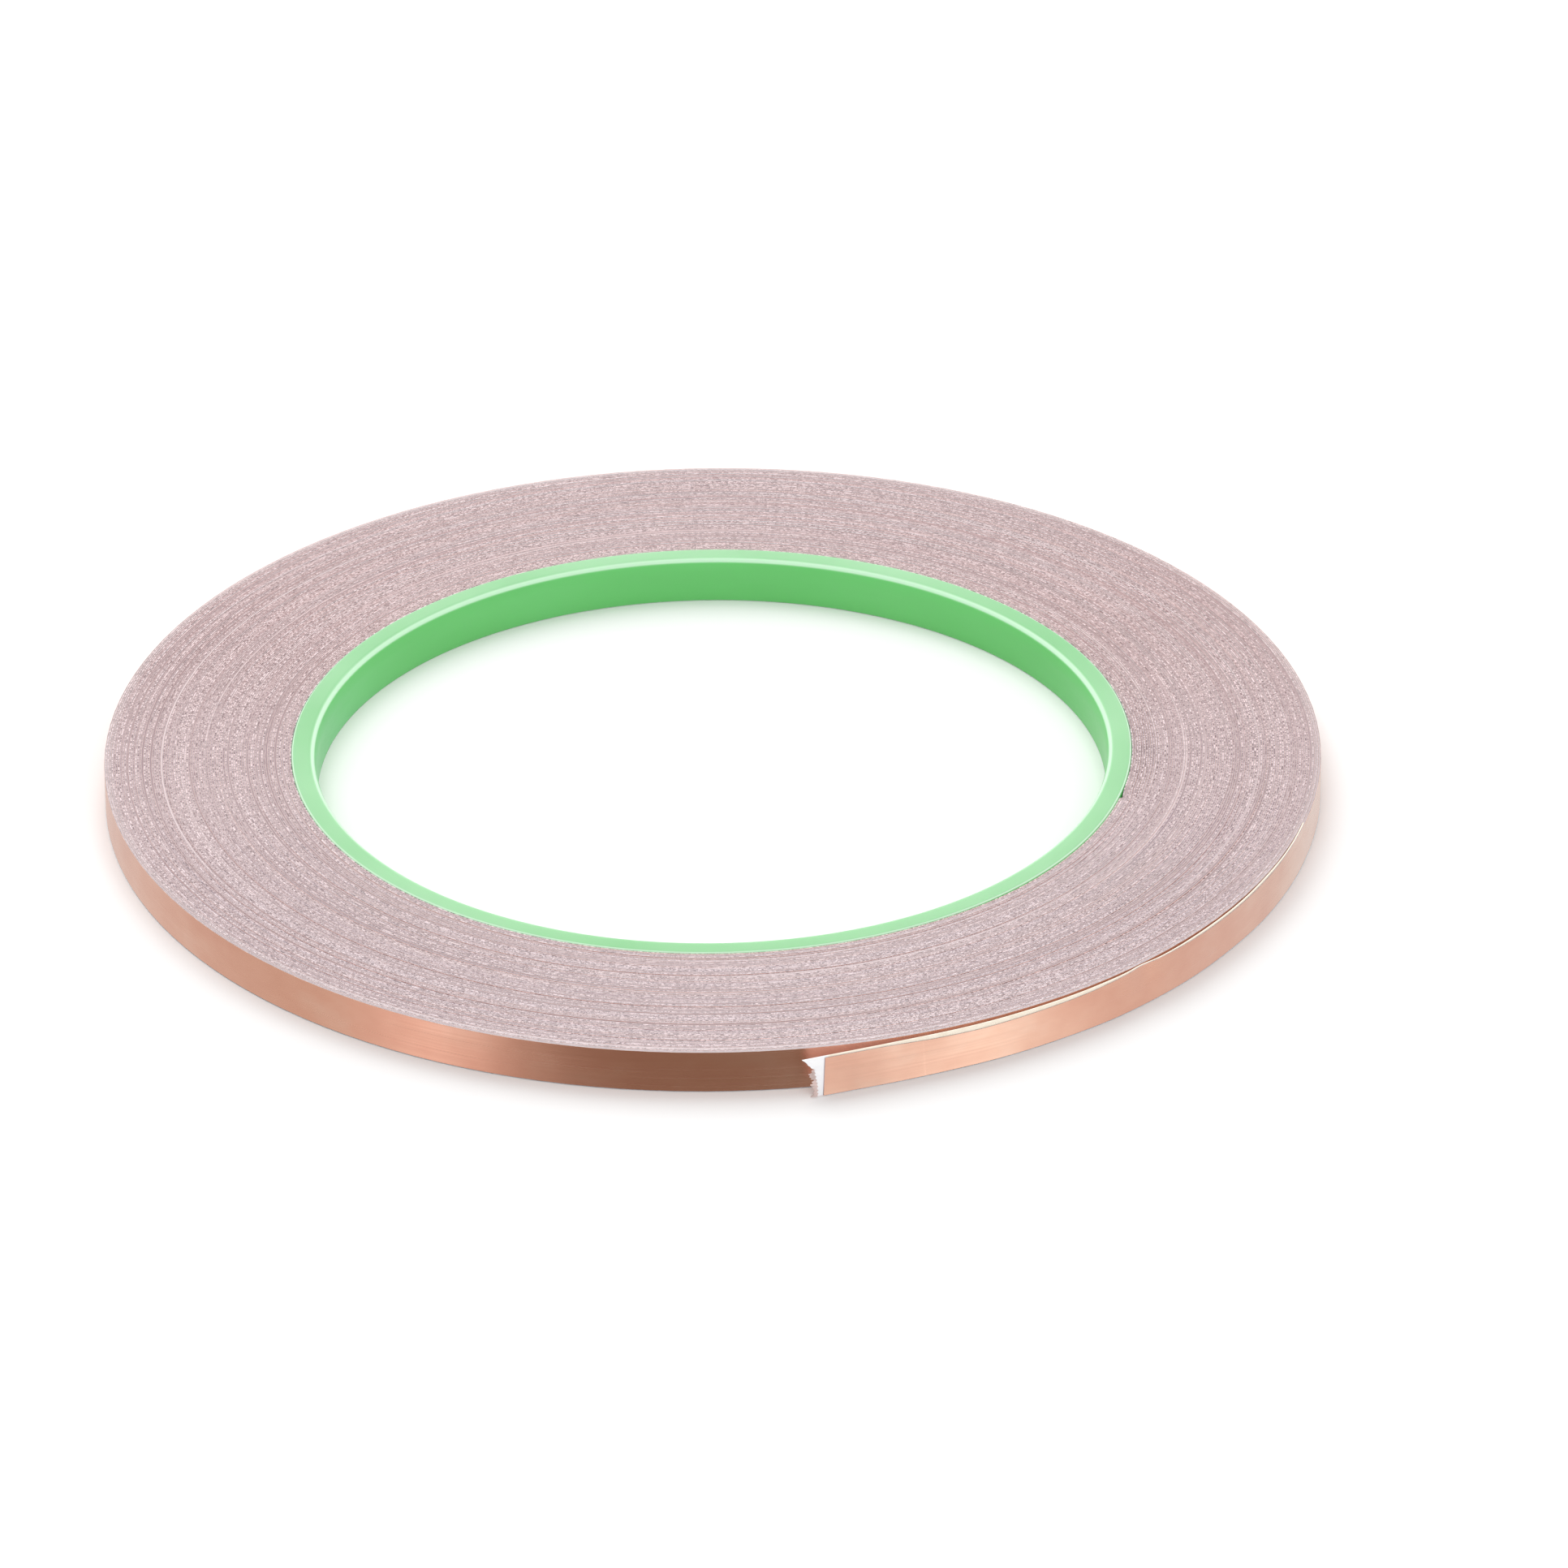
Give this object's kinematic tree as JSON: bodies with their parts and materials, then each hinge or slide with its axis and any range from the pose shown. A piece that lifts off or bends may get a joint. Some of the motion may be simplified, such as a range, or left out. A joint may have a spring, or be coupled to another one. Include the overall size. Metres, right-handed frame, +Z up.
{
  "type": "copper foil tape roll",
  "caption": "Flat ring-shaped roll of narrow adhesive copper foil tape on a thin plastic core, with its loose end lifted off the roll and a torn stub of white liner.",
  "frame": {"origin": "on the core's axis, in the plane that the core rests on", "axes": "+Z up along the core's axis; the tail leaves the roll 16 degrees clockwise of +X and ends near -Y"},
  "size_m": [0.0854, 0.0869, 0.0033],
  "materials": {
    "core_plastic": "semi-gloss moulded plastic, light green",
    "tab_tape": "clear double-sided tape",
    "liner_paper": "matt white release paper",
    "adhesive": "tacky clear film",
    "copper_foil": "bright rolled copper"
  },
  "bodies": {
    "roll": {"core": "core_plastic", "starter_tab": "tab_tape", "liner_winding": "liner_paper", "adhesive_winding": "adhesive", "foil_winding": "copper_foil"},
    "tail": {"liner_tail": "liner_paper", "adhesive_tail": "adhesive", "foil_tail": "copper_foil"},
    "foil_end": {"foil_tip": "copper_foil", "adhesive_tip": "adhesive"}
  },
  "joints": [
    {"name": "tail_peel", "type": "hinge", "parent": "roll", "child": "tail", "pos_m": [0.04111, -0.01179, 0], "axis": [0, 0, 1], "range_deg": [-0.5, 75]},
    {"name": "foil_peel", "type": "hinge", "parent": "tail", "child": "foil_end", "pos_m": [0.01903, -0.03867, 0], "axis": [0, 0, 1], "range_deg": [0, 80]}
  ]
}
